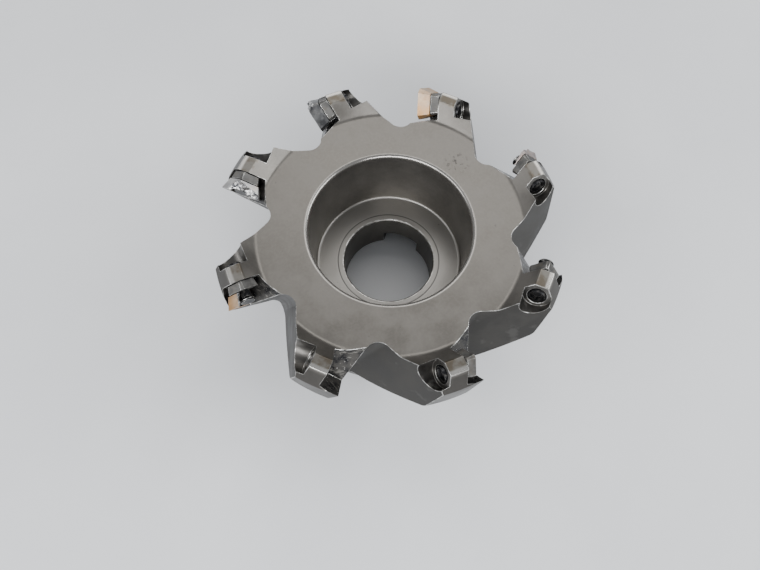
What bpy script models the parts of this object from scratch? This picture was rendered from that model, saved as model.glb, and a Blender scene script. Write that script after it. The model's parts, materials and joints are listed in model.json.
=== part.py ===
"""Eight-tooth indexable face mill of 45 degree lead, resting on its hub face with its cutting face up.

The cutter axis is +Z and the origin is the centre of the hub's back face. Sizes are in metres. Each tooth is
drawn in its own frame: X is tangential, away from the direction of cut, and Y is radial. A pocket is drawn in
its seat's frame: X points in to the cutter axis, Y runs up the seat and Z leaves it, in the direction of cut.
"""
import math

import bmesh
import bpy
from mathutils import Matrix, Vector

MM = 0.001
GAP = 0.3 * MM                     # running and seating gap between neighbouring pieces
TURNED_STEPS = 72
ROUND_STEPS = 20                   # round a pin or its hole
BORE_STEPS = 24                    # round an insert's bore
NUT_STEPS = 28
NOTCH_STEPS = 12

# Cutter body, turned
FACE_Z = 51.0 * MM
BORE_R = 19.05 * MM                # 1.5 inch arbor
SHOULDER_Z = 20.5 * MM             # seat of the arbor bolt, at the foot of the counterbore
COUNTERBORE_FOOT_R = 30.9 * MM
COUNTERBORE_R = 31.9 * MM
LIP_ROUND = 0.8 * MM
SHOULDER_BREAK = 0.5 * MM
COUNTERBORE_ROUND = 0.8 * MM
FACE_FLAT_R = 51.0 * MM
FACE_EDGE_R = 52.8 * MM            # the tooth roofs rise from here
FACE_EDGE_RISE = 0.6 * MM
ROOF_INNER_R = 58.7 * MM
ROOF_OUTER_R = 63.6 * MM
ROOF_Z = 57.0 * MM
ROOF_FALL = 0.2 * MM
LAND_R = 68.2 * MM
LAND_TOP_Z = 50.6 * MM
LAND_FOOT_R = 67.5 * MM
LAND_FOOT_Z = 34.0 * MM
CONE_TOP_R = 65.9 * MM
CONE_TOP_Z = 30.4 * MM
CONE_FLARE_R = 52.2 * MM           # the cone flattens below here
CONE_FLARE_Z = 15.9 * MM
CONE_FOOT_R = 50.0 * MM
CONE_FOOT_Z = 12.5 * MM
HUB_R = 49.2 * MM
HUB_CHAMFER = 1.2 * MM
BORE_CHAMFER = 0.9 * MM

# Drive slot across the hub face
KEY_WIDTH = 15.9 * MM              # 5/8 inch
KEY_DEPTH = 8.0 * MM

# Teeth and gullets
TEETH = 8
FIRST_TOOTH = math.radians(72)
TOOTH_STEP = math.radians(-45)
FLANK_POINT = Vector((15.8, 58.3)) * MM     # on the trailing flank, at the height of the face
FLANK_ANGLE = math.radians(21.5)            # the flank leans from radial, so the tooth widens inwards
FLANK_TILT = math.radians(14.5)             # and widens towards the hub
BREAST_POINT = Vector((-8.2, 46.0)) * MM    # on the leading wall, at the height of the face
BREAST_ANGLE = math.radians(-7.5)
BREAST_TILT = math.radians(21)
ROOT_ROUND = 5.0 * MM
ROOT_STEPS = 10
GULLET_REACH_R = 84 * MM
GULLET_TOP_Z = 64 * MM
GULLET_FOOT_Z = -4 * MM
GULLET_LAYERS = 3

# Seat, shim and insert
SEAT_X = 2.4 * MM                           # the seat's centre, behind the insert's centre
SEAT_R = 60.5 * MM
SEAT_Z = 53.1 * MM
SEAT_TILT = math.radians(20.5)              # axial rake
SEAT_TURN = math.radians(1.5)               # radial rake
INSERT_SIDE = 12.7 * MM                     # 1/2 inch inscribed circle
INSERT_THICK = 4.76 * MM
INSERT_RELIEF = math.radians(20)
INSERT_CORNER = 2.4 * MM                    # width of the flat across each corner
SHIM_THICK = 3.18 * MM
SHIM_RELIEF = math.radians(12)
SHIM_STEP = 0.2 * MM                        # the shim stands back from the insert's edge
SHIM_CORNER = 1.4 * MM
POCKET_REACH = 15 * MM
POCKET_VEE = 5.9 * MM                       # from the insert's centre to each wall of the vee, at the seat
POCKET_VEE_TAPER = 0.15
POCKET_INNER = 7.5 * MM                     # from the insert's centre to the pocket's inner end, at the seat
POCKET_INNER_TAPER = 0.33
SCOOP_START = 4.9 * MM                      # ahead of the seat, where the chip scoop opens inwards
SCOOP_TAPER = 0.32
CLEAR_WAY = 22 * MM                         # how far the cutters run past the tooth
WALL_THICK = 6.5 * MM                       # between the seat and the floor of the access notch
NOTCH_R = 5.3 * MM
NOTCH_DROP = 3.4 * MM                       # the notch's round floor lies below the insert's centre line
NOTCH_REACH = 22 * MM

# Lock pin and lock nut, on an axis through the middle of the insert
PIN_LEAN = math.radians(16)                 # from the seat's normal, so the wall above the nut stays thick
PIN_R = 2.0 * MM
PIN_HEAD_R = 3.0 * MM
PIN_HEAD_TOP = 2.0 * MM                     # places on the axis are measured from the insert's middle
PIN_HEAD_FOOT = 0.3 * MM
PIN_HEAD_CHAMFER = 0.5 * MM
PIN_END = -12.4 * MM
PIN_END_CHAMFER = 0.4 * MM
PIN_BREAK = -3.2 * MM                       # where a broken pin lost its head
PIN_CLEARANCE = 0.35 * MM
INSERT_BORE_R = 2.6 * MM
INSERT_SINK_R = 3.6 * MM
NUT_R = 3.2 * MM
NUT_FOOT = -9.7 * MM
NUT_LENGTH = 3.6 * MM
NUT_SOCKET_R = 2.6 * MM
NUT_SOCKET_DEPTH = 1.4 * MM
NUT_CLEARANCE = 0.35 * MM
NUT_RECESS_END = -17 * MM

# What each pocket still holds, by tooth number. A broken piece lost what lies beyond each of its fractures,
# given in the piece's own frame as a point (mm) and the direction that broke away.
WORN_OUT = (5,)                             # this pocket holds nothing
HEADLESS_PINS = (4,)
BROKEN_INSERTS = {
    1: (),
    2: (((0, 1.8, 0), (0.25, -1, 0.1)), ((-1, 3, 0.4), (0.3, -0.3, 1))),
    6: (((-1.6, 0, 0), (1, 0.25, 0.3)),),
    7: (((3.0, 3.2, 1.2), (0.5, 0.9, 0.8)),),
    8: (),
}

STEEL_BODY = ((0.20, 0.195, 0.19), 0.42, 0.85)
CARBIDE = ((0.36, 0.355, 0.34), 0.38, 0.8)
COATED = ((0.55, 0.42, 0.28), 0.35, 0.8)
BLACK_OXIDE = ((0.07, 0.07, 0.075), 0.45, 0.7)


def clear_scene():
    for item in list(bpy.data.objects):
        bpy.data.objects.remove(item, do_unlink=True)


def new_collection(name):
    group = bpy.data.collections.new(name)
    bpy.context.scene.collection.children.link(group)
    return group


def material(name, look):
    colour, roughness, metallic = look
    made = bpy.data.materials.new(name)
    made.use_nodes = True
    shader = made.node_tree.nodes["Principled BSDF"]
    shader.inputs["Base Color"].default_value = (*colour, 1)
    shader.inputs["Roughness"].default_value = roughness
    shader.inputs["Metallic"].default_value = metallic
    return made


def add_object(name, bm, group, look=None):
    mesh = bpy.data.meshes.new(name)
    bmesh.ops.recalc_face_normals(bm, faces=bm.faces)
    bm.to_mesh(mesh)
    bm.free()
    made = bpy.data.objects.new(name, mesh)
    group.objects.link(made)
    if look:
        mesh.materials.append(look)
    else:
        made.hide_render = True
        made.display_type = "WIRE"
    mesh.shade_smooth()
    mesh.set_sharp_from_angle(angle=math.radians(30))
    return made


def loft(bm, rings):
    """Closed solid through rings of equally many points."""
    rows = [[bm.verts.new(point) for point in ring] for ring in rings]
    count = len(rows[0])
    for low, high in zip(rows, rows[1:]):
        for i in range(count):
            j = (i + 1) % count
            bm.faces.new((low[i], low[j], high[j], high[i]))
    bm.faces.new(reversed(rows[0]))
    bm.faces.new(rows[-1])


def cylinder(bm, radius_low, radius_high, low, high, segments, turn=0.0):
    """Cylinder or cone along Z from low to high."""
    place = Matrix.Translation((0, 0, (low + high) / 2)) @ Matrix.Rotation(turn, 4, "Z")
    bmesh.ops.create_cone(bm, cap_ends=True, segments=segments, radius1=radius_low, radius2=radius_high,
                          depth=high - low, matrix=place)


def tooth_matrix(index):
    return Matrix.Rotation(FIRST_TOOTH + index * TOOTH_STEP - math.pi / 2, 4, "Z")


def seat_matrix():
    """From the seat's own frame to the tooth's frame."""
    up = Vector((-math.sin(SEAT_TILT), 0, math.cos(SEAT_TILT)))
    inward = Vector((-math.sin(SEAT_TURN), -math.cos(SEAT_TURN), 0))
    inward = (inward - inward.dot(up) * up).normalized()
    turn = Matrix((inward, up, inward.cross(up))).transposed().to_4x4()
    return Matrix.Translation((SEAT_X, SEAT_R, SEAT_Z)) @ turn


def pin_matrix():
    """From the lock pin's frame, with Z along its axis and its origin in the insert, to the seat's frame."""
    middle = GAP + SHIM_THICK + GAP + INSERT_THICK / 2
    return Matrix.Translation((0, 0, middle)) @ Matrix.Rotation(-PIN_LEAN, 4, "X")


def ring_cutter(name, group, draw, frame=None):
    """One cutter object holding the same closed shape at every tooth."""
    whole = bmesh.new()
    for index in range(TEETH):
        one = bmesh.new()
        draw(one)
        place = tooth_matrix(index) @ (frame or Matrix())
        bmesh.ops.transform(one, matrix=place, verts=one.verts)
        piece = bpy.data.meshes.new("piece")
        one.to_mesh(piece)
        one.free()
        whole.from_mesh(piece)
        bpy.data.meshes.remove(piece)
    return add_object(name, whole, group)


def cut(target, cutter):
    modifier = target.modifiers.new("cut " + cutter.name, "BOOLEAN")
    modifier.operation = "DIFFERENCE"
    modifier.solver = "EXACT"
    modifier.object = cutter


def turn(profile, steps):
    """Turn an object's profile once round its own Z axis."""
    screw = profile.modifiers.new("turn", "SCREW")
    screw.steps = screw.render_steps = steps
    screw.use_merge_vertices = True
    screw.merge_threshold = 0.00001
    screw.use_normal_calculate = True


def body_profile():
    """Half section of the turned blank, as (radius, height), down the outside and back up the bore."""
    return [
        (COUNTERBORE_R + LIP_ROUND, FACE_Z),
        (FACE_FLAT_R, FACE_Z),
        (FACE_EDGE_R, FACE_Z + FACE_EDGE_RISE),
        (ROOF_INNER_R, ROOF_Z),
        (ROOF_OUTER_R, ROOF_Z - ROOF_FALL),
        (LAND_R, LAND_TOP_Z),
        (LAND_FOOT_R, LAND_FOOT_Z),
        (CONE_TOP_R, CONE_TOP_Z),
        (CONE_FLARE_R, CONE_FLARE_Z),
        (CONE_FOOT_R, CONE_FOOT_Z),
        (HUB_R, HUB_CHAMFER),
        (HUB_R - HUB_CHAMFER, 0),
        (BORE_R + BORE_CHAMFER, 0),
        (BORE_R, BORE_CHAMFER),
        (BORE_R, SHOULDER_Z - SHOULDER_BREAK),
        (BORE_R + SHOULDER_BREAK, SHOULDER_Z),
        (COUNTERBORE_FOOT_R - COUNTERBORE_ROUND, SHOULDER_Z),
        (COUNTERBORE_FOOT_R, SHOULDER_Z + COUNTERBORE_ROUND),
        (COUNTERBORE_R, FACE_Z - LIP_ROUND),
    ]


def turned_blank(group, look):
    points = body_profile()
    mesh = bpy.data.meshes.new("cutter_body")
    edges = [(i, (i + 1) % len(points)) for i in range(len(points))]
    mesh.from_pydata([(r, 0, z) for r, z in points], edges, [])
    body = bpy.data.objects.new("cutter_body", mesh)
    group.objects.link(body)
    mesh.materials.append(look)
    turn(body, TURNED_STEPS)
    return body


def line_meet(point_a, along_a, point_b, along_b):
    """Where two lines in the plane cross."""
    across = along_a.x * along_b.y - along_a.y * along_b.x
    offset = point_b - point_a
    return point_a + along_a * ((offset.x * along_b.y - offset.y * along_b.x) / across)


def reach(point, along, radius):
    """The point where a line from inside leaves a circle round the axis."""
    half = point.dot(along)
    return point + along * (-half + math.sqrt(half * half - point.length_squared + radius * radius))


def gullet_outline(height):
    """Outline of the gullet ahead of a tooth, in the tooth's frame, at a height."""
    drop = FACE_Z - height
    step = Matrix.Rotation(-TOOTH_STEP, 2)
    flank_out = step @ Vector((-math.sin(FLANK_ANGLE), math.cos(FLANK_ANGLE)))
    flank = step @ (FLANK_POINT + Vector((drop * math.tan(FLANK_TILT), 0)))
    breast_out = Vector((-math.sin(BREAST_ANGLE), math.cos(BREAST_ANGLE)))
    breast = BREAST_POINT + Vector((drop * math.tan(BREAST_TILT), 0))
    corner = line_meet(flank, flank_out, breast, breast_out)
    middle = (flank_out + breast_out).normalized()
    half = flank_out.angle(breast_out) / 2
    centre = corner + middle * ROOT_ROUND / math.sin(half)
    start = math.atan2(-middle.y, -middle.x) - (math.pi / 2 - half)
    root = []
    for i in range(ROOT_STEPS + 1):
        angle = start + (math.pi - 2 * half) * i / ROOT_STEPS
        root.append(centre + ROOT_ROUND * Vector((math.cos(angle), math.sin(angle))))
    outline = [reach(flank, flank_out, GULLET_REACH_R)] + root + [reach(breast, breast_out, GULLET_REACH_R)]
    return [(point.x, point.y, height) for point in outline]


def draw_gullet(bm):
    rise = (GULLET_TOP_Z - GULLET_FOOT_Z) / GULLET_LAYERS
    loft(bm, [gullet_outline(GULLET_FOOT_Z + rise * i) for i in range(GULLET_LAYERS + 1)])


def draw_pocket(bm):
    """Vee for the insert's two lower sides, open upwards, outwards and ahead."""
    rings = []
    for depth in (0, SCOOP_START, POCKET_REACH):
        foot = -(POCKET_VEE + depth * POCKET_VEE_TAPER) * math.sqrt(2)
        inner = POCKET_INNER + depth * POCKET_INNER_TAPER + max(0, depth - SCOOP_START) * SCOOP_TAPER
        rings.append([(0, foot, depth), (inner, foot + inner, depth), (inner, CLEAR_WAY, depth),
                      (-CLEAR_WAY, CLEAR_WAY, depth), (-CLEAR_WAY, foot + CLEAR_WAY, depth)])
    loft(bm, rings)


def draw_notch(bm):
    """Round-bottomed access notch behind the seat wall, open at the roof."""
    outline = []
    for i in range(NOTCH_STEPS + 1):
        angle = math.pi + math.pi * i / NOTCH_STEPS
        outline.append(Vector((math.cos(angle), math.sin(angle))) * NOTCH_R - Vector((0, NOTCH_DROP)))
    outline += [Vector((NOTCH_R, CLEAR_WAY)), Vector((-NOTCH_R, CLEAR_WAY))]
    loft(bm, [[(point.x, point.y, depth) for point in outline] for depth in (-NOTCH_REACH, -WALL_THICK)])


def draw_pin_hole(bm):
    cylinder(bm, PIN_R + PIN_CLEARANCE, PIN_R + PIN_CLEARANCE, NUT_FOOT - MM, 0, ROUND_STEPS)


def draw_nut_recess(bm):
    cylinder(bm, NUT_R + NUT_CLEARANCE, NUT_R + NUT_CLEARANCE, NUT_RECESS_END, NUT_FOOT + GAP, NUT_STEPS)


def make_body(parts, cutters, look):
    body = turned_blank(parts, look)
    seat = seat_matrix()
    cut(body, ring_cutter("gullet_cutter", cutters, draw_gullet))
    cut(body, ring_cutter("pocket_cutter", cutters, draw_pocket, seat))
    cut(body, ring_cutter("notch_cutter", cutters, draw_notch, seat))
    cut(body, ring_cutter("nut_recess_cutter", cutters, draw_nut_recess, seat @ pin_matrix()))
    cut(body, ring_cutter("pin_hole_cutter", cutters, draw_pin_hole, seat @ pin_matrix()))
    slot = bmesh.new()
    size = Matrix.Diagonal((2.4 * HUB_R, KEY_WIDTH, 2 * KEY_DEPTH, 1))
    bmesh.ops.create_cube(slot, size=1, matrix=Matrix.Rotation(FIRST_TOOTH, 4, "Z") @ size)
    cut(body, add_object("drive_slot_cutter", slot, cutters))
    return body


def tapered_square(bm, low, high, side, corner, relief):
    """Square plate with flats across its corners, its widest face at high, stood on one corner."""
    rings = []
    for depth in (low, high):
        inset = (high - depth) * math.tan(relief)
        half = side / 2 - inset
        flat = corner / 2 - inset * (math.sqrt(2) - 1)
        reach_out = half * math.sqrt(2) - flat
        ring = []
        for i in range(4):
            turn = Matrix.Rotation(math.pi / 2 * i, 2)
            ring += [turn @ Vector((reach_out, -flat)), turn @ Vector((reach_out, flat))]
        rings.append([(point.x, point.y, depth) for point in ring])
    loft(bm, rings)


def cutting_tool(name, target, cutters, bm):
    """A cutter that belongs to one piece, drawn in that piece's own frame."""
    tool = add_object(f"{target.name}_{name}", bm, cutters)
    tool.parent = target
    cut(target, tool)


def snap_off(piece, cutters, fractures):
    """Take away what lies beyond each fracture plane of a broken piece."""
    for number, (point, direction) in enumerate(fractures, 1):
        away = Vector(direction).normalized()
        block = bmesh.new()
        size = Matrix.Diagonal((2 * CLEAR_WAY, 2 * CLEAR_WAY, CLEAR_WAY, 1))
        place = Matrix.Translation(Vector(point) * MM + away * CLEAR_WAY / 2)
        place = place @ away.to_track_quat("Z", "Y").to_matrix().to_4x4()
        bmesh.ops.create_cube(block, size=1, matrix=place @ size)
        cutting_tool(f"fracture_{number}", piece, cutters, block)


def make_shim(name, group, cutters, look):
    bm = bmesh.new()
    side = INSERT_SIDE - 2 * INSERT_THICK * math.tan(INSERT_RELIEF) - 2 * SHIM_STEP
    tapered_square(bm, GAP, GAP + SHIM_THICK, side, SHIM_CORNER, SHIM_RELIEF)
    bmesh.ops.transform(bm, matrix=pin_matrix().inverted(), verts=bm.verts)
    shim = add_object(name, bm, group, look)
    drill = bmesh.new()
    cylinder(drill, PIN_R + PIN_CLEARANCE, PIN_R + PIN_CLEARANCE, NUT_FOOT, PIN_HEAD_TOP, ROUND_STEPS)
    cutting_tool("drill", shim, cutters, drill)
    return shim


def make_insert(name, group, cutters, look):
    bm = bmesh.new()
    low = GAP + SHIM_THICK + GAP
    tapered_square(bm, low, low + INSERT_THICK, INSERT_SIDE, INSERT_CORNER, INSERT_RELIEF)
    bmesh.ops.transform(bm, matrix=pin_matrix().inverted(), verts=bm.verts)
    insert = add_object(name, bm, group, look)
    drill = bmesh.new()
    cylinder(drill, INSERT_BORE_R, INSERT_BORE_R, -INSERT_THICK, INSERT_THICK, BORE_STEPS)
    cutting_tool("drill", insert, cutters, drill)
    sink = bmesh.new()
    depth = PIN_HEAD_TOP - PIN_HEAD_FOOT
    slope = (INSERT_SINK_R - INSERT_BORE_R) / depth
    cylinder(sink, INSERT_BORE_R - slope * depth, INSERT_SINK_R + slope * depth,
             PIN_HEAD_FOOT - depth, PIN_HEAD_TOP + depth, BORE_STEPS)
    cutting_tool("sink", insert, cutters, sink)
    return insert


def make_pin(name, group, look, headless):
    """Lock pin: a conical head in the insert, and a shank through shim and wall into the nut."""
    profile = [(PIN_R, PIN_END + PIN_END_CHAMFER), (PIN_R - PIN_END_CHAMFER, PIN_END), (0, PIN_END)]
    if headless:
        profile = [(0, PIN_BREAK), (PIN_R, PIN_BREAK)] + profile
    else:
        profile = [(0, PIN_HEAD_TOP), (PIN_HEAD_R - PIN_HEAD_CHAMFER, PIN_HEAD_TOP),
                   (PIN_HEAD_R, PIN_HEAD_TOP - PIN_HEAD_CHAMFER), (PIN_R, PIN_HEAD_FOOT)] + profile
    mesh = bpy.data.meshes.new(name)
    mesh.from_pydata([(r, 0, z) for r, z in profile], [(i, i + 1) for i in range(len(profile) - 1)], [])
    pin = bpy.data.objects.new(name, mesh)
    group.objects.link(pin)
    mesh.materials.append(look)
    turn(pin, ROUND_STEPS)
    return pin


def make_nut(name, group, cutters, look):
    """Round lock nut with a hexagonal socket in its outer end."""
    back = NUT_FOOT - NUT_LENGTH
    bm = bmesh.new()
    cylinder(bm, NUT_R, NUT_R, back, NUT_FOOT, NUT_STEPS)
    nut = add_object(name, bm, group, look)
    drill = bmesh.new()
    cylinder(drill, PIN_R + PIN_CLEARANCE, PIN_R + PIN_CLEARANCE, back - MM, NUT_FOOT + MM, ROUND_STEPS)
    cutting_tool("drill", nut, cutters, drill)
    socket = bmesh.new()
    corner = NUT_SOCKET_R / math.cos(math.pi / 6)
    cylinder(socket, corner, corner, back - MM, back + NUT_SOCKET_DEPTH, 6)
    cutting_tool("socket", nut, cutters, socket)
    return nut


def main():
    clear_scene()
    parts = new_collection("face_mill")
    cutters = new_collection("cutters")
    body_look = material("body_steel", STEEL_BODY)
    carbide = material("carbide", CARBIDE)
    coated = material("coated_carbide", COATED)
    black = material("black_oxide", BLACK_OXIDE)
    make_body(parts, cutters, body_look)
    for index in range(TEETH):
        number = index + 1
        if number in WORN_OUT:
            continue
        pieces = [
            make_pin(f"lock_pin_{number}", parts, black, number in HEADLESS_PINS),
            make_nut(f"lock_nut_{number}", parts, cutters, black),
            make_shim(f"shim_{number}", parts, cutters, carbide),
        ]
        if number in BROKEN_INSERTS:
            insert = make_insert(f"insert_{number}", parts, cutters, coated)
            snap_off(insert, cutters, BROKEN_INSERTS[number])
            pieces.append(insert)
        for piece in pieces:
            piece.matrix_world = tooth_matrix(index) @ seat_matrix() @ pin_matrix()


main()
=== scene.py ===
"""Looks of the eight-tooth face mill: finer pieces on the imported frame, worn metal, light and camera.

Sizes are in metres, in the frame of the CAD: the axis is +Z and the origin is the centre of the hub's
back face.
"""
import json
import math

import bmesh
import bpy
from mathutils import Matrix, Vector, noise

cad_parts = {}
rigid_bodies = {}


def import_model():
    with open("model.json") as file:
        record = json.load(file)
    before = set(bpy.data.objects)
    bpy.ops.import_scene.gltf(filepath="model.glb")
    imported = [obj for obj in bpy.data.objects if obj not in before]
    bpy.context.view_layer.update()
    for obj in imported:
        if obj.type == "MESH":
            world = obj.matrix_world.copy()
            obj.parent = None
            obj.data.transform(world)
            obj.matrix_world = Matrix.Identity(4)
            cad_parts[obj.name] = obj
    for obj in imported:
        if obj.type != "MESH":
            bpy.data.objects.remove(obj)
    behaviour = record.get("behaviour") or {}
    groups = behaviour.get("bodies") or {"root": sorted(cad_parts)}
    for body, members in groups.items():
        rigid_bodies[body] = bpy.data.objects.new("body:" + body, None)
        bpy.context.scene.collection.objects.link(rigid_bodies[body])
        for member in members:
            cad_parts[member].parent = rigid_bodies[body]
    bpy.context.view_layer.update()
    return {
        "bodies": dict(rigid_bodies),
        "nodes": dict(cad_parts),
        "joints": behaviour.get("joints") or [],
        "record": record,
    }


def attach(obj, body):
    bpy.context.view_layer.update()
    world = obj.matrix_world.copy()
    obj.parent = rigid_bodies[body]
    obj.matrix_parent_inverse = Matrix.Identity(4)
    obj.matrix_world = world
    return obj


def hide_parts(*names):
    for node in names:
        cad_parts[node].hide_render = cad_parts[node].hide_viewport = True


MM = 0.001
GAP = 0.3 * MM                     # running and seating gap between neighbouring pieces
TURNED_STEPS = 240
TURNED_START = 0.31                # of one step, so that no seam falls on a tooth's edge
FILLET_STEPS = 6
HOLE_STEPS = 40                    # round a drilled hole
RECESS_STEPS = 48
NUT_STEPS = 56
PIN_STEPS = 48
NOTCH_STEPS = 28
GULLET_LAYERS = 12

# Cutter body, turned
FACE_Z = 51.0 * MM
BORE_R = 19.05 * MM                # 1.5 inch arbor
SHOULDER_Z = 20.5 * MM             # seat of the arbor bolt, at the foot of the counterbore
COUNTERBORE_FOOT_R = 30.9 * MM
COUNTERBORE_R = 31.9 * MM
SHOULDER_BREAK = 0.5 * MM
ROOF_INNER_R = 58.7 * MM
ROOF_OUTER_R = 63.6 * MM
ROOF_Z = 57.0 * MM
ROOF_FALL = 0.2 * MM
LAND_R = 68.2 * MM
LAND_TOP_Z = 50.6 * MM
LAND_FOOT_R = 67.5 * MM
LAND_FOOT_Z = 34.0 * MM
CONE_FOOT_R = 50.0 * MM
CONE_FOOT_Z = 12.5 * MM
HUB_R = 49.2 * MM
HUB_CHAMFER = 1.2 * MM
BORE_CHAMFER = 0.9 * MM

# Drive slot across the hub face
KEY_WIDTH = 15.9 * MM              # 5/8 inch
KEY_DEPTH = 8.0 * MM

# Teeth and gullets
TEETH = 8
FIRST_TOOTH = math.radians(72)
TOOTH_STEP = math.radians(-45)
FLANK_POINT = Vector((15.8, 58.3)) * MM     # on the trailing flank, at the height of the face
FLANK_ANGLE = math.radians(21.5)            # the flank leans from radial, so the tooth widens inwards
FLANK_TILT = math.radians(14.5)             # and widens towards the hub
BREAST_POINT = Vector((-8.2, 46.0)) * MM    # on the leading wall, at the height of the face
BREAST_ANGLE = math.radians(-7.5)
BREAST_TILT = math.radians(21)
ROOT_ROUND = 5.0 * MM
ROOT_STEPS = 20
GULLET_REACH_R = 84 * MM
GULLET_TOP_Z = 64 * MM
GULLET_FOOT_Z = -4 * MM

# Seat, shim and insert
SEAT_X = 2.4 * MM                           # the seat's centre, behind the insert's centre
SEAT_R = 60.5 * MM
SEAT_Z = 53.1 * MM
SEAT_TILT = math.radians(20.5)              # axial rake
SEAT_TURN = math.radians(1.5)               # radial rake
INSERT_SIDE = 12.7 * MM                     # 1/2 inch inscribed circle
INSERT_THICK = 4.76 * MM
INSERT_RELIEF = math.radians(20)
INSERT_CORNER = 2.4 * MM                    # width of the flat across each corner
SHIM_THICK = 3.18 * MM
SHIM_RELIEF = math.radians(12)
SHIM_STEP = 0.2 * MM                        # the shim stands back from the insert's edge
SHIM_CORNER = 1.4 * MM
POCKET_REACH = 15 * MM
POCKET_VEE = 5.9 * MM                       # from the insert's centre to each wall of the vee, at the seat
POCKET_VEE_TAPER = 0.15
POCKET_INNER = 7.5 * MM                     # from the insert's centre to the pocket's inner end, at the seat
POCKET_INNER_TAPER = 0.33
SCOOP_START = 4.9 * MM                      # ahead of the seat, where the chip scoop opens inwards
SCOOP_TAPER = 0.32
CLEAR_WAY = 22 * MM                         # how far the cutters run past the tooth
WALL_THICK = 6.5 * MM                       # between the seat and the floor of the access notch
NOTCH_R = 5.3 * MM
NOTCH_DROP = 3.4 * MM                       # the notch's round floor lies below the insert's centre line
NOTCH_REACH = 22 * MM

# Lock pin and lock nut, on an axis through the middle of the insert
PIN_LEAN = math.radians(16)                 # from the seat's normal, so the wall above the nut stays thick
PIN_R = 2.0 * MM
PIN_HEAD_R = 3.0 * MM
PIN_HEAD_TOP = 2.0 * MM                     # places on the axis are measured from the insert's middle
PIN_HEAD_FOOT = 0.3 * MM
PIN_HEAD_CHAMFER = 0.5 * MM
PIN_END = -12.4 * MM
PIN_END_CHAMFER = 0.4 * MM
PIN_BREAK = -3.2 * MM                       # where a broken pin lost its head
PIN_CLEARANCE = 0.35 * MM
INSERT_BORE_R = 2.6 * MM
INSERT_SINK_R = 3.6 * MM
NUT_R = 3.2 * MM
NUT_FOOT = -9.7 * MM
NUT_LENGTH = 3.6 * MM
NUT_SOCKET_R = 2.6 * MM
NUT_SOCKET_DEPTH = 1.4 * MM
NUT_CLEARANCE = 0.35 * MM
NUT_RECESS_END = -17 * MM

# Camera
CAMERA_AT = Vector((-3.45, -111.8, 264.4)) * MM
CAMERA_PITCH = math.radians(90 - 67.76)
CAMERA_ROLL = math.radians(1.28)
CAMERA_LENS = 29.37
CAMERA_SENSOR = 36

# Worn edges, rounded off; their look is partly wear and partly painted highlight
EDGE_BEVEL = 0.19 * MM
PIECE_BEVEL = 0.12 * MM
SHARP = math.radians(27)                    # edges that turn more than this are rounded off

# Roundings of the turned outline, and details drawn on it
LIP_ARC = 1.5 * MM
ROOF_FOOT_R = 52.2 * MM
ROOF_FOOT_ARC = 2.6 * MM
ROOF_INNER_ARC = 0.4 * MM
ROOF_OUTER_ARC = 0.5 * MM
LAND_TOP_ARC = 0.5 * MM
CONE_ARC = 4 * MM
SHOULDER_ARC = 1.2 * MM
SHOULDER_STEP_R = 21.8 * MM                 # a turned line round the bolt's seat
STAIN_AT = Vector((26.5, 29.5, 51.0)) * MM  # a patch of small dark pits on the face
FRACTURE_GRID = 44
FLOOR_HALF = 9
HEADLESS_PINS = (4,)

# Look of each insert that is left, and its fractures: a point (mm) in the piece's own frame and the
# direction that broke away
INSERTS = {
    1: ("copper", ()),
    2: ("dull", (((0, 1.8, 0), (0.25, -1, 0.1)), ((-1, 3, 0.4), (0.3, -0.3, 1)))),
    6: ("copper", (((-1.6, 0, 0), (1, 0.25, 0.3)),)),
    7: ("silver", (((3.0, 3.2, 1.2), (0.5, 0.9, 0.8)),)),
    8: ("slate", (((-4.2, 3.6, 0.6), (-0.6, 0.7, 0.45)),)),
}
SHIMS = (1, 2, 3, 4, 6, 7, 8)


# ---------------------------------------------------------------- materials

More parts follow.
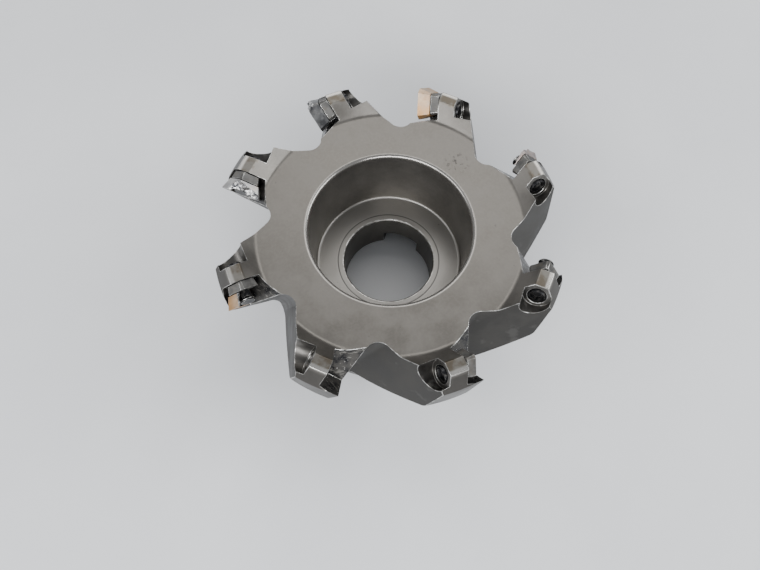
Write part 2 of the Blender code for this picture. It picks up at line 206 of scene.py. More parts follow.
class Look:
    """One Principled surface, built from object-space nodes."""

    def __init__(self, name, metallic=1.0, coat=0.0):
        self.material = bpy.data.materials.new(name)
        self.material.use_nodes = True
        self.tree = self.material.node_tree
        self.shader = self.tree.nodes["Principled BSDF"]
        self.shader.inputs["Metallic"].default_value = metallic
        self.shader.inputs["Coat Weight"].default_value = coat
        self.shader.inputs["Coat Roughness"].default_value = 0.25
        self.place = self.tree.nodes.new("ShaderNodeTexCoord").outputs["Object"]

    def node(self, kind, **inputs):
        made = self.tree.nodes.new("ShaderNode" + kind)
        for name, value in inputs.items():
            self.feed(made.inputs[name.replace("_", " ")], value)
        return made

    def feed(self, socket, value):
        if isinstance(value, bpy.types.NodeSocket):
            self.tree.links.new(value, socket)
        else:
            socket.default_value = value

    def math(self, operation, first, second=0.0):
        made = self.tree.nodes.new("ShaderNodeMath")
        made.operation = operation
        self.feed(made.inputs[0], first)
        self.feed(made.inputs[1], second)
        return made.outputs[0]

    def noise(self, scale, detail=4.0, vector=None, rough=0.55):
        made = self.node("TexNoise", Scale=scale, Detail=detail, Roughness=rough)
        self.feed(made.inputs["Vector"], vector or self.place)
        return made.outputs["Fac"]

    def span(self, value, low, high, to_low=0.0, to_high=1.0):
        made = self.node("MapRange")
        made.interpolation_type = "SMOOTHSTEP"
        self.feed(made.inputs["Value"], value)
        for name, number in (("From Min", low), ("From Max", high), ("To Min", to_low), ("To Max", to_high)):
            made.inputs[name].default_value = number
        return made.outputs["Result"]

    def mix(self, share, first, second):
        made = self.tree.nodes.new("ShaderNodeMix")
        made.data_type = "RGBA"
        self.feed(made.inputs["Factor"], share)
        self.feed(made.inputs[6], first if isinstance(first, bpy.types.NodeSocket) else (*first, 1))
        self.feed(made.inputs[7], second if isinstance(second, bpy.types.NodeSocket) else (*second, 1))
        return made.outputs[2]

    def stretched(self, x, y, z):
        made = self.tree.nodes.new("ShaderNodeMapping")
        made.inputs["Scale"].default_value = (x, y, z)
        self.feed(made.inputs["Vector"], self.place)
        return made.outputs["Vector"]

    def round_place(self):
        """Radius, a slow turn round the axis, and height: grain drawn in it runs in rings."""
        parts = self.node("SeparateXYZ", Vector=self.place)
        x, y, z = parts.outputs
        squares = self.math("ADD", self.math("MULTIPLY", x, x), self.math("MULTIPLY", y, y))
        radius = self.math("SQRT", squares)
        turn_share = self.math("MULTIPLY", self.math("ARCTAN2", y, x), 0.0012)
        joined = self.node("CombineXYZ", X=radius, Y=turn_share, Z=z)
        return joined.outputs[0], radius, z

    def finish(self, colour, roughness, height=None, strength=0.3, distance=0.1 * MM):
        self.feed(self.shader.inputs["Base Color"], colour)
        self.feed(self.shader.inputs["Roughness"], roughness)
        if height is not None:
            bump = self.node("Bump", Strength=strength, Distance=distance, Height=height)
            self.feed(self.shader.inputs["Normal"], bump.outputs["Normal"])
        return self.material


def turned_steel():
    """Satin grey steel of the face, counterbore and lands, with ring grain, stains, worn roofs and a painted
    highlight on the counterbore's lip.
    """
    look = Look("turned_steel", 0.85)
    rings, radius, height = look.round_place()
    blotch = look.noise(70, 5)
    fine = look.noise(900, 3)
    grain = look.noise(5200, 2, rings)
    base = look.mix(look.span(blotch, 0.35, 0.68), (0.140, 0.131, 0.117), (0.196, 0.184, 0.166))
    base = look.mix(look.math("MULTIPLY", look.span(fine, 0.42, 0.62), 0.12), base, (0.25, 0.236, 0.214))
    deep = look.span(height, SHOULDER_Z + 0.2 * MM, SHOULDER_Z + 1.2 * MM, 1, 0)
    inside = look.math("MULTIPLY", deep, look.span(radius, BORE_R + 0.1 * MM, BORE_R + 0.4 * MM))
    inside = look.math("MULTIPLY", inside, look.span(radius, COUNTERBORE_R, COUNTERBORE_R + MM, 1, 0))
    base = look.mix(look.math("MULTIPLY", inside, 0.7), base, (0.33, 0.317, 0.296))
    off_step = look.math("ABSOLUTE", look.math("SUBTRACT", radius, SHOULDER_STEP_R))
    step_line = look.math("MULTIPLY", inside, look.span(off_step, 0.12 * MM, 0.34 * MM, 1, 0))
    base = look.mix(look.math("MULTIPLY", step_line, 0.8), base, (0.07, 0.068, 0.065))
    # Painted highlight: a lighter, smoother band round the counterbore's rounded lip.
    lip_highlight = look.math("MULTIPLY", look.span(height, FACE_Z - 1.5 * MM, FACE_Z - 1.1 * MM),
                    look.span(radius, COUNTERBORE_R + MM, COUNTERBORE_R + 1.7 * MM, 1, 0))
    base = look.mix(look.math("MULTIPLY", lip_highlight, 0.5), base, (0.50, 0.48, 0.45))
    outer = look.span(radius, ROOF_OUTER_R, ROOF_OUTER_R + 1.2 * MM)
    below = look.span(height, LAND_TOP_Z - 7 * MM, LAND_TOP_Z - MM, 1, 0)
    hub = look.math("MULTIPLY", below, look.span(radius, COUNTERBORE_R + 4 * MM, COUNTERBORE_R + 8 * MM))
    side = look.math("MAXIMUM", outer, hub)
    base = look.mix(look.math("MULTIPLY", side, 0.78), base, (0.046, 0.043, 0.040))
    specks = look.span(look.noise(420, 2), 0.73, 0.79)
    base = look.mix(look.math("MULTIPLY", specks, 0.4), base, (0.06, 0.055, 0.052))
    spot = look.node("VectorMath")
    spot.operation = "DISTANCE"
    look.feed(spot.inputs[0], look.place)
    spot.inputs[1].default_value = STAIN_AT
    near = look.span(spot.outputs["Value"], 2 * MM, 6.5 * MM, 1, 0)
    pits = look.math("MULTIPLY", near, look.span(look.noise(560, 3), 0.55, 0.63))
    base = look.mix(look.math("MULTIPLY", pits, 0.8), base, (0.045, 0.04, 0.04))
    roof = look.span(height, ROOF_Z - 0.75 * MM, ROOF_Z - 0.4 * MM)
    tint = look.mix(look.span(look.noise(260, 4), 0.4, 0.62), (0.125, 0.105, 0.078), (0.205, 0.195, 0.175))
    base = look.mix(look.math("MULTIPLY", roof, 0.85), base, tint)
    strip = look.math("MULTIPLY", roof, look.span(radius, ROOF_OUTER_R - 1.9 * MM, ROOF_OUTER_R - 0.9 * MM))
    base = look.mix(look.math("MULTIPLY", strip, 0.75), base, (0.60, 0.585, 0.55))
    rough = look.span(blotch, 0.3, 0.7, 0.34, 0.46)
    rough = look.math("SUBTRACT", rough, look.math("MULTIPLY", look.math("MAXIMUM", strip, lip_highlight), 0.14))
    lines = look.math("MULTIPLY", look.noise(2600, 2, rings), look.math("MULTIPLY", inside, 1.2))
    height_map = look.math("ADD", look.math("MULTIPLY", grain, 0.5), look.math("MULTIPLY", fine, 0.22))
    ring_lines = look.math("SUBTRACT", lines, look.math("MULTIPLY", step_line, 2))
    height_map = look.math("ADD", height_map, ring_lines)
    return look.finish(base, rough, height_map, 0.35, 0.05 * MM)


def milled_steel(name, dark, light, metallic=0.85, scuff=0.35, rough=(0.28, 0.42)):
    """Milled flanks, gullets and notches: smooth, with slanting cutter marks and rubbed patches."""
    look = Look(name, metallic)
    blotch = look.noise(85, 5)
    marks = look.noise(240, 3, look.stretched(1, 1, 9))
    fine = look.noise(1300, 3)
    base = look.mix(look.span(blotch, 0.35, 0.66), dark, light)
    rub = look.math("MULTIPLY", look.span(look.noise(150, 5), 0.58, 0.70), scuff)
    base = look.mix(rub, base, (0.46, 0.45, 0.42))
    roughness = look.span(blotch, 0.3, 0.7, rough[0], rough[1])
    height_map = look.math("ADD", look.math("MULTIPLY", marks, 0.6), look.math("MULTIPLY", fine, 0.3))
    return look.finish(base, roughness, height_map, 0.3, 0.06 * MM)


def oily_pocket_and_painted_shade():
    """Oily, chip-packed seat walls, near black partly for the oil and partly as painted shade in the pocket,
    with painted glints.
    """
    look = Look("oily_pocket_and_painted_shade", 0.7, 0.25)
    blotch = look.noise(210, 6, rough=0.7)
    smear = look.noise(330, 4, look.stretched(1, 1, 3))
    # Near-black walls: oil, and painted shade inside the pocket.
    base = look.mix(look.span(blotch, 0.40, 0.60), (0.012, 0.012, 0.014), (0.07, 0.066, 0.06))
    base = look.mix(look.math("MULTIPLY", look.span(smear, 0.55, 0.68), 0.6), base, (0.26, 0.25, 0.225))
    glints = look.span(look.noise(1500, 2), 0.68, 0.73)
    base = look.mix(glints, base, (0.62, 0.60, 0.56))
    rough = look.span(blotch, 0.35, 0.65, 0.22, 0.6)
    return look.finish(base, rough, look.noise(700, 5), 0.7, 0.25 * MM)


def worn_edge_and_highlight():
    look = Look("worn_edge_and_highlight", 1.0)
    wear = look.noise(340, 5)
    # Partly wear, partly painted highlight: the rounded edges are much lighter than the faces they join.
    base = look.mix(look.span(wear, 0.42, 0.60), (0.22, 0.215, 0.20), (0.62, 0.61, 0.585))
    rough = look.span(wear, 0.35, 0.65, 0.42, 0.26)
    return look.finish(base, rough, look.noise(1800, 3), 0.3, 0.05 * MM)


def carbide(name, dark, light, stain, stain_share=0.5, foot=None, rough=(0.32, 0.5), metallic=0.75):
    """Ground carbide with heat stains and small rubbed spots; the colour may turn browner and darker towards
    its foot.
    """
    look = Look(name, metallic)
    blotch = look.noise(230, 5)
    ground = look.noise(900, 3, look.stretched(1, 1, 6))
    base = look.mix(look.span(blotch, 0.36, 0.64), dark, light)
    if foot:
        height = look.node("SeparateXYZ", Vector=look.place).outputs["Z"]
        uneven = look.math("ADD", height, look.math("MULTIPLY", look.noise(300, 3), 3 * MM))
        base = look.mix(look.span(uneven, ROOF_Z - 4 * MM, ROOF_Z + 1.5 * MM, 0.9, 0), base, foot)
    stained = look.span(look.noise(330, 4), 0.48, 0.66)
    base = look.mix(look.math("MULTIPLY", stained, stain_share), base, stain)
    specks = look.span(look.noise(1700, 2), 0.68, 0.74)
    base = look.mix(look.math("MULTIPLY", specks, 0.5), base, (0.08, 0.07, 0.07))
    roughness = look.span(blotch, 0.3, 0.7, rough[0], rough[1])
    return look.finish(base, roughness, ground, 0.25, 0.05 * MM)


def fracture_look():
    """Broken carbide, its facets painted near white and near black as painted highlights and painted shade.
    """
    look = Look("broken_carbide", 0.7)
    cells = look.node("TexVoronoi", Scale=900.0, Vector=look.place)
    facet = look.node("SeparateColor", Color=cells.outputs["Color"])
    patch = look.noise(420, 5)
    # Painted highlights and painted shade: facets near white or near black stand for the glitter of the
    # broken carbide.
    base = look.mix(look.span(facet.outputs[0], 0.25, 0.85), (0.10, 0.10, 0.105), (0.92, 0.91, 0.88))
    base = look.mix(look.span(patch, 0.52, 0.62), base, (0.16, 0.155, 0.15))
    rough = look.span(facet.outputs[1], 0.0, 1.0, 0.15, 0.5)
    return look.finish(base, rough, look.noise(1100, 4), 0.9, 0.3 * MM)


def oxide_look():
    look = Look("black_oxide_worn", 0.8, 0.2)
    wear = look.noise(520, 5)
    base = look.mix(look.span(wear, 0.50, 0.66), (0.022, 0.022, 0.024), (0.13, 0.125, 0.115))
    rough = look.span(wear, 0.35, 0.65, 0.28, 0.5)
    return look.finish(base, rough, look.noise(1500, 4), 0.45, 0.1 * MM)


def floor_look():
    look = Look("pale_floor", 0.0)
    base = look.mix(look.span(look.noise(9, 4), 0.3, 0.7), (0.74, 0.75, 0.765), (0.79, 0.80, 0.81))
    return look.finish(base, look.span(look.noise(22, 3), 0.3, 0.7, 0.55, 0.7))


# ---------------------------------------------------------------- shapes

def loft(bm, rings):
    """Closed solid through rings of the same number of points."""
    made = [[bm.verts.new(point) for point in ring] for ring in rings]
    for low, high in zip(made, made[1:]):
        for i in range(len(low)):
            j = (i + 1) % len(low)
            bm.faces.new((low[i], low[j], high[j], high[i]))
    bm.faces.new(made[0])
    bm.faces.new(made[-1])
    bmesh.ops.recalc_face_normals(bm, faces=bm.faces)


def cylinder(bm, r_low, r_high, low, high, segments):
    place = Matrix.Translation((0, 0, (low + high) / 2))
    bmesh.ops.create_cone(bm, cap_ends=True, segments=segments, radius1=r_low, radius2=r_high,
                          depth=high - low, matrix=place)


def mesh_object(name, bm, *looks):
    mesh = bpy.data.meshes.new(name)
    bm.to_mesh(mesh)
    bm.free()
    made = bpy.data.objects.new(name, mesh)
    bpy.context.scene.collection.objects.link(made)
    for look in looks:
        mesh.materials.append(look)
    return made


def tooth_matrix(index):
    return Matrix.Rotation(FIRST_TOOTH + index * TOOTH_STEP - math.pi / 2, 4, "Z")


def seat_matrix():
    """From the seat's own frame to the tooth's frame."""
    up = Vector((-math.sin(SEAT_TILT), 0, math.cos(SEAT_TILT)))
    inward = Vector((-math.sin(SEAT_TURN), -math.cos(SEAT_TURN), 0))
    inward = (inward - inward.dot(up) * up).normalized()
    turn = Matrix((inward, up, inward.cross(up))).transposed().to_4x4()
    return Matrix.Translation((SEAT_X, SEAT_R, SEAT_Z)) @ turn


def pin_matrix():
    """From the lock pin's frame, with Z along its axis and its origin in the insert, to the seat's frame."""
    middle = GAP + SHIM_THICK + GAP + INSERT_THICK / 2
    return Matrix.Translation((0, 0, middle)) @ Matrix.Rotation(-PIN_LEAN, 4, "X")


def line_meet(point_a, along_a, point_b, along_b):
    """Where two lines in the plane cross."""
    across = along_a.x * along_b.y - along_a.y * along_b.x
    offset = point_b - point_a
    return point_a + along_a * ((offset.x * along_b.y - offset.y * along_b.x) / across)


def reach(point, along, radius):
    """The point where a line from inside leaves a circle round the axis."""
    half = point.dot(along)
    return point + along * (-half + math.sqrt(half * half - point.length_squared + radius * radius))


def gullet_outline(height):
    """Outline of the gullet ahead of a tooth, in the tooth's frame, at a height."""
    drop = FACE_Z - height
    step = Matrix.Rotation(-TOOTH_STEP, 2)
    flank_out = step @ Vector((-math.sin(FLANK_ANGLE), math.cos(FLANK_ANGLE)))
    flank = step @ (FLANK_POINT + Vector((drop * math.tan(FLANK_TILT), 0)))
    breast_out = Vector((-math.sin(BREAST_ANGLE), math.cos(BREAST_ANGLE)))
    breast = BREAST_POINT + Vector((drop * math.tan(BREAST_TILT), 0))
    corner = line_meet(flank, flank_out, breast, breast_out)
    middle = (flank_out + breast_out).normalized()
    half = flank_out.angle(breast_out) / 2
    centre = corner + middle * ROOT_ROUND / math.sin(half)
    start = math.atan2(-middle.y, -middle.x) - (math.pi / 2 - half)
    root = []
    for i in range(ROOT_STEPS + 1):
        angle = start + (math.pi - 2 * half) * i / ROOT_STEPS
        root.append(centre + ROOT_ROUND * Vector((math.cos(angle), math.sin(angle))))
    outline = [reach(flank, flank_out, GULLET_REACH_R)] + root + [reach(breast, breast_out, GULLET_REACH_R)]
    return [(point.x, point.y, height) for point in outline]


def fillet(points, radii):
    """Closed outline (radius, height) with the corners named in radii rounded, each by its own radius."""
    out = []
    for i, point in enumerate(points):
        round_off = radii.get(i, 0)
        if not round_off:
            out.append(point)
            continue
        here = Vector(point)
        before = (Vector(points[i - 1]) - here).normalized()
        after = (Vector(points[(i + 1) % len(points)]) - here).normalized()
        half = before.angle(after) / 2
        centre = here + (before + after).normalized() * round_off / math.sin(half)
        start = here + before * round_off / math.tan(half) - centre
        end = here + after * round_off / math.tan(half) - centre
        sweep = start.angle_signed(end)
        for step in range(FILLET_STEPS + 1):
            turned = Matrix.Rotation(-sweep * step / FILLET_STEPS, 2) @ start
            out.append(tuple(centre + turned))
    return out


def body_outline():
    """Half section of the turned blank: down the outside, then up the bore."""
    points = [
        (COUNTERBORE_R, FACE_Z),
        (ROOF_FOOT_R, FACE_Z),
        (ROOF_INNER_R, ROOF_Z),
        (ROOF_OUTER_R, ROOF_Z - ROOF_FALL),
        (LAND_R, LAND_TOP_Z),
        (LAND_FOOT_R, LAND_FOOT_Z),
        (CONE_FOOT_R, CONE_FOOT_Z),
        (HUB_R, HUB_CHAMFER),
        (HUB_R - HUB_CHAMFER, 0),
        (BORE_R + BORE_CHAMFER, 0),
        (BORE_R, BORE_CHAMFER),
        (BORE_R, SHOULDER_Z - SHOULDER_BREAK),
        (BORE_R + SHOULDER_BREAK, SHOULDER_Z),
        (COUNTERBORE_FOOT_R, SHOULDER_Z),
    ]
    radii = {0: LIP_ARC, 1: ROOF_FOOT_ARC, 2: ROOF_INNER_ARC, 3: ROOF_OUTER_ARC, 4: LAND_TOP_ARC,
             5: CONE_ARC, 6: CONE_ARC, len(points) - 1: SHOULDER_ARC}
    return fillet(points, radii)


def turned_blank(look):
    outline = body_outline()
    bm = bmesh.new()
    rings = []
    for step in range(TURNED_STEPS):
        angle = 2 * math.pi * (step + TURNED_START) / TURNED_STEPS
        rings.append([bm.verts.new((r * math.cos(angle), r * math.sin(angle), z)) for r, z in outline])
    for i, ring in enumerate(rings):
        following = rings[(i + 1) % len(rings)]
        for j in range(len(outline)):
            k = (j + 1) % len(outline)
            bm.faces.new((ring[j], following[j], following[k], ring[k]))
    bmesh.ops.recalc_face_normals(bm, faces=bm.faces)
    return mesh_object("cutter_body_shown", bm, look)


def ring_of(name, draw, look, frame=None):
    """One cutter holding the same closed shape at every tooth."""
    whole = bmesh.new()
    for index in range(TEETH):
        one = bmesh.new()
        draw(one)
        bmesh.ops.transform(one, matrix=tooth_matrix(index) @ (frame or Matrix()), verts=one.verts)
        piece = bpy.data.meshes.new("piece")
        one.to_mesh(piece)
        one.free()
        whole.from_mesh(piece)
        bpy.data.meshes.remove(piece)
    return mesh_object(name, whole, look)


def cut(target, cutter):
    """Take the cutter's volume out of the target; the new faces keep the cutter's material."""
    modifier = target.modifiers.new("cut", "BOOLEAN")
    modifier.operation = "DIFFERENCE"
    modifier.solver = "EXACT"
    modifier.material_mode = "TRANSFER"
    modifier.object = cutter
    settle(target)
    bpy.data.objects.remove(cutter)


def settle(target):
    """Turn the target's modifiers into its mesh."""
    shape = target.evaluated_get(bpy.context.evaluated_depsgraph_get())
    mesh = bpy.data.meshes.new_from_object(shape)
    target.modifiers.clear()
    target.data = mesh


def draw_gullet(bm):
    full = GULLET_TOP_Z - GULLET_FOOT_Z
    heights = [GULLET_FOOT_Z + full * i / GULLET_LAYERS for i in range(GULLET_LAYERS + 1)]
    loft(bm, [gullet_outline(height) for height in heights])


def draw_pocket(bm):
    rings = []
    for depth in (0, SCOOP_START, POCKET_REACH):
        foot = -(POCKET_VEE + depth * POCKET_VEE_TAPER) * math.sqrt(2)
        inner = POCKET_INNER + depth * POCKET_INNER_TAPER + max(0, depth - SCOOP_START) * SCOOP_TAPER
        rings.append([(0, foot, depth), (inner, foot + inner, depth), (inner, CLEAR_WAY, depth),
                      (-CLEAR_WAY, CLEAR_WAY, depth), (-CLEAR_WAY, foot + CLEAR_WAY, depth)])
    loft(bm, rings)


def draw_notch(bm):
    outline = []
    for i in range(NOTCH_STEPS + 1):
        angle = math.pi + math.pi * i / NOTCH_STEPS
        outline.append(Vector((math.cos(angle), math.sin(angle))) * NOTCH_R - Vector((0, NOTCH_DROP)))
    outline += [Vector((NOTCH_R, CLEAR_WAY)), Vector((-NOTCH_R, CLEAR_WAY))]
    loft(bm, [[(point.x, point.y, depth) for point in outline] for depth in (-NOTCH_REACH, -WALL_THICK)])


def draw_pin_hole(bm):
    cylinder(bm, PIN_R + PIN_CLEARANCE, PIN_R + PIN_CLEARANCE, NUT_FOOT - MM, 0, HOLE_STEPS)


def draw_nut_recess(bm):
    cylinder(bm, NUT_R + NUT_CLEARANCE, NUT_R + NUT_CLEARANCE, NUT_RECESS_END, NUT_FOOT + GAP, RECESS_STEPS)


def soften(target, width, edge_slot=-1, segments=2):
    """Round off the sharp edges and set the shading."""
    bm = bmesh.new()
    bm.from_mesh(target.data)
    bmesh.ops.remove_doubles(bm, verts=bm.verts, dist=0.02 * MM)
    bmesh.ops.dissolve_degenerate(bm, dist=0.01 * MM, edges=bm.edges)
    bmesh.ops.dissolve_limit(bm, angle_limit=math.radians(0.3), verts=bm.verts, edges=bm.edges,
                             delimit={"MATERIAL", "SHARP"})
    if width:
        sharp = [e for e in bm.edges if e.is_manifold and e.calc_face_angle(0) > SHARP]
        bmesh.ops.bevel(bm, geom=sharp, offset=width, offset_type="OFFSET", segments=segments, profile=0.5,
                        affect="EDGES", clamp_overlap=False, material=edge_slot, loop_slide=False,
                        miter_outer="ARC", harden_normals=False)
        bmesh.ops.remove_doubles(bm, verts=bm.verts, dist=0.005 * MM)
    bmesh.ops.recalc_face_normals(bm, faces=bm.faces)
    bm.to_mesh(target.data)
    bm.free()
    target.data.polygons.foreach_set("use_smooth", [True] * len(target.data.polygons))
    target.data.set_sharp_from_angle(angle=math.radians(38))
    shading = target.modifiers.new("shading", "WEIGHTED_NORMAL")
    shading.keep_sharp = True
    settle(target)


def make_body(looks):
    body = turned_blank(looks["turned"])
    seat = seat_matrix()
    cut(body, ring_of("gullets", draw_gullet, looks["gullet"]))
    cut(body, ring_of("pockets", draw_pocket, looks["pocket"], seat))
    cut(body, ring_of("notches", draw_notch, looks["notch"], seat))
    cut(body, ring_of("recesses", draw_nut_recess, looks["recess"], seat @ pin_matrix()))
    cut(body, ring_of("pin_holes", draw_pin_hole, looks["recess"], seat @ pin_matrix()))
    slot = bmesh.new()
    size = Matrix.Diagonal((2.4 * HUB_R, KEY_WIDTH, 2 * KEY_DEPTH, 1))
    bmesh.ops.create_cube(slot, size=1, matrix=Matrix.Rotation(FIRST_TOOTH, 4, "Z") @ size)
    cut(body, mesh_object("drive_slot", slot, looks["gullet"]))
    body.data.materials.append(looks["edge"])
    soften(body, EDGE_BEVEL, len(body.data.materials) - 1)
    return body


def tapered_square(bm, low, high, side, corner, relief):
    """Square plate with flats across its corners, its widest face at high, stood on one corner."""
    rings = []
    for depth in (low, high):
        inset = (high - depth) * math.tan(relief)
        half = side / 2 - inset
        flat = corner / 2 - inset * (math.sqrt(2) - 1)
        reach_out = half * math.sqrt(2) - flat
        ring = []
        for i in range(4):
            turned = Matrix.Rotation(math.pi / 2 * i, 2)
            ring += [turned @ Vector((reach_out, -flat)), turned @ Vector((reach_out, flat))]
        rings.append([(point.x, point.y, depth) for point in ring])
    loft(bm, rings)


def rough_block(point, direction, look, seed):
    """A block with a chipped, uneven front, to break a piece off beyond it."""
    away = Vector(direction).normalized()
    place = Matrix.Translation(Vector(point) * MM) @ away.to_track_quat("Z", "Y").to_matrix().to_4x4()
    bm = bmesh.new()
    bmesh.ops.create_grid(bm, x_segments=FRACTURE_GRID, y_segments=FRACTURE_GRID, size=CLEAR_WAY / 2)
    for vert in bm.verts:
        where = Vector((vert.co.x, vert.co.y, seed * MM)) / MM
        step = noise.cell(where * 0.55) * 0.45
        vert.co.z = (noise.noise(where * 0.35) * 0.9 + step + noise.noise(where * 1.3) * 0.35) * 0.8 * MM
    back = bmesh.ops.extrude_face_region(bm, geom=bm.faces[:])
    moved = [item for item in back["geom"] if isinstance(item, bmesh.types.BMVert)]
    bmesh.ops.translate(bm, verts=moved, vec=(0, 0, CLEAR_WAY))
    bmesh.ops.recalc_face_normals(bm, faces=bm.faces)
    bmesh.ops.transform(bm, matrix=place, verts=bm.verts)
    return mesh_object("fracture", bm, look)


def make_plate(name, low, thick, side, corner, relief, look):
    bm = bmesh.new()
    tapered_square(bm, low, low + thick, side, corner, relief)
    bmesh.ops.transform(bm, matrix=pin_matrix().inverted(), verts=bm.verts)
    return mesh_object(name, bm, look)


def drilled(piece, r_low, r_high, low, high, look):
    bm = bmesh.new()
    cylinder(bm, r_low, r_high, low, high, HOLE_STEPS)
    cut(piece, mesh_object("drill", bm, look))


def make_shim(number, looks):
    side = INSERT_SIDE - 2 * INSERT_THICK * math.tan(INSERT_RELIEF) - 2 * SHIM_STEP
    shim = make_plate(f"shim_{number}_shown", GAP, SHIM_THICK, side, SHIM_CORNER, SHIM_RELIEF, looks["shim"])
    drilled(shim, PIN_R + PIN_CLEARANCE, PIN_R + PIN_CLEARANCE, NUT_FOOT, PIN_HEAD_TOP, looks["recess"])
    shim.data.materials.append(looks["edge"])
    soften(shim, PIECE_BEVEL, len(shim.data.materials) - 1)
    return shim


def make_insert(number, looks):
    look, fractures = INSERTS[number]
    low = GAP + SHIM_THICK + GAP
    insert = make_plate(f"insert_{number}_shown", low, INSERT_THICK, INSERT_SIDE, INSERT_CORNER,
                        INSERT_RELIEF, looks[look])
    drilled(insert, INSERT_BORE_R, INSERT_BORE_R, -INSERT_THICK, INSERT_THICK, looks["recess"])
    depth = PIN_HEAD_TOP - PIN_HEAD_FOOT
    slope = (INSERT_SINK_R - INSERT_BORE_R) / depth
    drilled(insert, INSERT_BORE_R - slope * depth, INSERT_SINK_R + slope * depth, PIN_HEAD_FOOT - depth,
            PIN_HEAD_TOP + depth, looks["recess"])
    soften(insert, PIECE_BEVEL)
    for count, (point, direction) in enumerate(fractures):
        cut(insert, rough_block(point, direction, looks["fracture"], 7 * number + count))
    if fractures:
        soften(insert, 0)
    return insert


def make_pin(number, looks):
    outline = [(PIN_R, PIN_END + PIN_END_CHAMFER), (PIN_R - PIN_END_CHAMFER, PIN_END), (0, PIN_END)]
    if number in HEADLESS_PINS:
        outline = [(0, PIN_BREAK), (PIN_R, PIN_BREAK)] + outline
    else:
        outline = [(0, PIN_HEAD_TOP), (PIN_HEAD_R - PIN_HEAD_CHAMFER, PIN_HEAD_TOP),
                   (PIN_HEAD_R, PIN_HEAD_TOP - PIN_HEAD_CHAMFER), (PIN_R, PIN_HEAD_FOOT)] + outline
    bm = bmesh.new()
    verts = [bm.verts.new((r, 0, z)) for r, z in outline]
    edges = [bm.edges.new(pair) for pair in zip(verts, verts[1:])]
    bmesh.ops.spin(bm, geom=verts + edges, cent=(0, 0, 0), axis=(0, 0, 1), angle=2 * math.pi,
                     steps=PIN_STEPS)
    bmesh.ops.remove_doubles(bm, verts=bm.verts, dist=0.01 * MM)
    bmesh.ops.recalc_face_normals(bm, faces=bm.faces)
    pin = mesh_object(f"lock_pin_{number}_shown", bm, looks["oxide"], looks["edge"])
    soften(pin, PIECE_BEVEL, 1)
    return pin


def make_nut(number, looks):
    back = NUT_FOOT - NUT_LENGTH
    bm = bmesh.new()
    cylinder(bm, NUT_R, NUT_R, back, NUT_FOOT, NUT_STEPS)
    nut = mesh_object(f"lock_nut_{number}_shown", bm, looks["oxide"])
    drilled(nut, PIN_R + PIN_CLEARANCE, PIN_R + PIN_CLEARANCE, back - MM, NUT_FOOT + MM, looks["recess"])
    corner = NUT_SOCKET_R / math.cos(math.pi / 6)
    socket = bmesh.new()
    cylinder(socket, corner, corner, back - MM, back + NUT_SOCKET_DEPTH, 6)
    cut(nut, mesh_object("socket", socket, looks["oxide"]))
    soften(nut, PIECE_BEVEL)
    return nut


def make_looks():
    return {
        "turned": turned_steel(),
        # The gullet, notch and recess steels are one milled steel made darker, as painted shade in those
        # hollows: the gullets and holes darkest, the notches less so.
        "gullet": milled_steel("gullet_steel_painted_shade", (0.026, 0.024, 0.021), (0.050, 0.047, 0.042),
                               0.75, 0.06, (0.42, 0.56)),
        "notch": milled_steel("notch_steel_painted_shade", (0.060, 0.057, 0.053), (0.15, 0.143, 0.132), 0.9),
        "recess": milled_steel("recess_steel_painted_shade", (0.025, 0.024, 0.023), (0.07, 0.067, 0.062), 0.8, 0.1),
        "pocket": oily_pocket_and_painted_shade(),
        "edge": worn_edge_and_highlight(),
        "oxide": oxide_look(),
        "fracture": fracture_look(),
        "shim": carbide("shim_carbide", (0.085, 0.083, 0.079), (0.17, 0.166, 0.157),
                        (0.16, 0.142, 0.118), 0.5, rough=(0.5, 0.66)),
        "copper": carbide("copper_coating", (0.40, 0.27, 0.17), (0.60, 0.46, 0.33),
                          (0.34, 0.29, 0.25), 0.4, (0.42, 0.23, 0.09)),
        "dull": carbide("dull_carbide", (0.24, 0.21, 0.20), (0.40, 0.36, 0.34), (0.44, 0.30, 0.22), 0.4),
        "silver": carbide("silver_carbide", (0.26, 0.255, 0.25), (0.55, 0.54, 0.52),
                          (0.50, 0.38, 0.28), 0.35),
        "slate": carbide("slate_carbide", (0.055, 0.055, 0.057), (0.14, 0.14, 0.14),
                         (0.33, 0.325, 0.315), 0.35),
    }


# ---------------------------------------------------------------- stage

def make_floor():
    bm = bmesh.new()
    bmesh.ops.create_grid(bm, x_segments=8, y_segments=8, size=FLOOR_HALF)
    floor = mesh_object("floor", bm, floor_look())


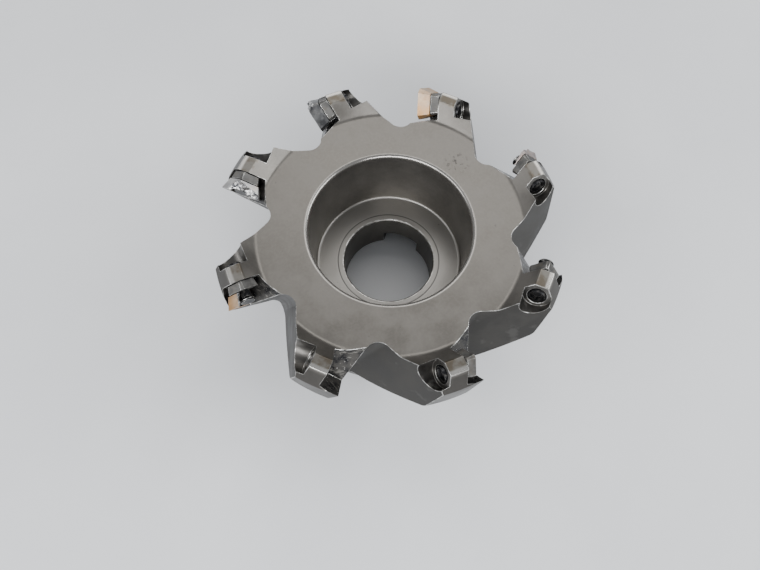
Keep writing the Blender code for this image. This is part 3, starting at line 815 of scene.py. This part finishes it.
def area_light(name, at, target, size, power, colour=(1, 1, 1)):
    light = bpy.data.lights.new(name, "AREA")
    light.shape = "RECTANGLE"
    light.size, light.size_y = size
    light.energy = power
    light.color = colour
    lamp = bpy.data.objects.new(name, light)
    bpy.context.scene.collection.objects.link(lamp)
    lamp.location = at
    lamp.rotation_euler = (Vector(target) - Vector(at)).to_track_quat("-Z", "Y").to_euler()


def make_lights():
    area_light("key", (0.06, 0.55, 0.85), (0, 0, 0.05), (0.8, 0.5), 3.6, (1, 0.99, 0.975))
    area_light("front", (-0.20, -0.95, 0.70), (0, 0, 0.05), (1.5, 0.35), 19.0, (0.97, 0.98, 1))
    area_light("right", (0.95, 0.05, 0.62), (0, 0, 0.05), (0.8, 0.4), 7.0, (0.96, 0.98, 1))
    area_light("left", (-0.95, -0.30, 0.58), (0, 0, 0.05), (0.7, 0.4), 3.8, (0.97, 0.98, 1))
    world = bpy.data.worlds.new("studio")
    world.use_nodes = True
    sky = world.node_tree.nodes["Background"]
    sky.inputs["Color"].default_value = (0.82, 0.85, 0.90, 1)
    sky.inputs["Strength"].default_value = 0.42
    bpy.context.scene.world = world


def make_camera():
    data = bpy.data.cameras.new("camera")
    data.sensor_width = CAMERA_SENSOR
    data.lens = CAMERA_LENS
    data.clip_start = 0.01
    camera = bpy.data.objects.new("camera", data)
    bpy.context.scene.collection.objects.link(camera)
    turn_to = Matrix.Rotation(CAMERA_PITCH, 4, "X") @ Matrix.Rotation(CAMERA_ROLL, 4, "Z")
    camera.matrix_world = Matrix.Translation(CAMERA_AT) @ turn_to
    bpy.context.scene.camera = camera


def place(piece, node, body, slot):
    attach(piece, body)
    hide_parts(node)


def main():
    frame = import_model()
    looks = make_looks()
    make_camera()
    make_lights()
    make_floor()
    place(make_body(looks), "cutter_body", "cutter", "body_steel")
    for number in SHIMS:
        at = tooth_matrix(number - 1) @ seat_matrix() @ pin_matrix()
        pieces = [(make_shim(number, looks), f"shim_{number}", "cutter", "carbide"),
                  (make_pin(number, looks), f"lock_pin_{number}", f"lock_pin_{number}", "black_oxide"),
                  (make_nut(number, looks), f"lock_nut_{number}", f"lock_nut_{number}", "black_oxide")]
        if number in INSERTS:
            pieces.append((make_insert(number, looks), f"insert_{number}", "cutter", "coated_carbide"))
        for piece, node, body, slot in pieces:
            piece.data.transform(at)
            place(piece, node, body, slot)


main()
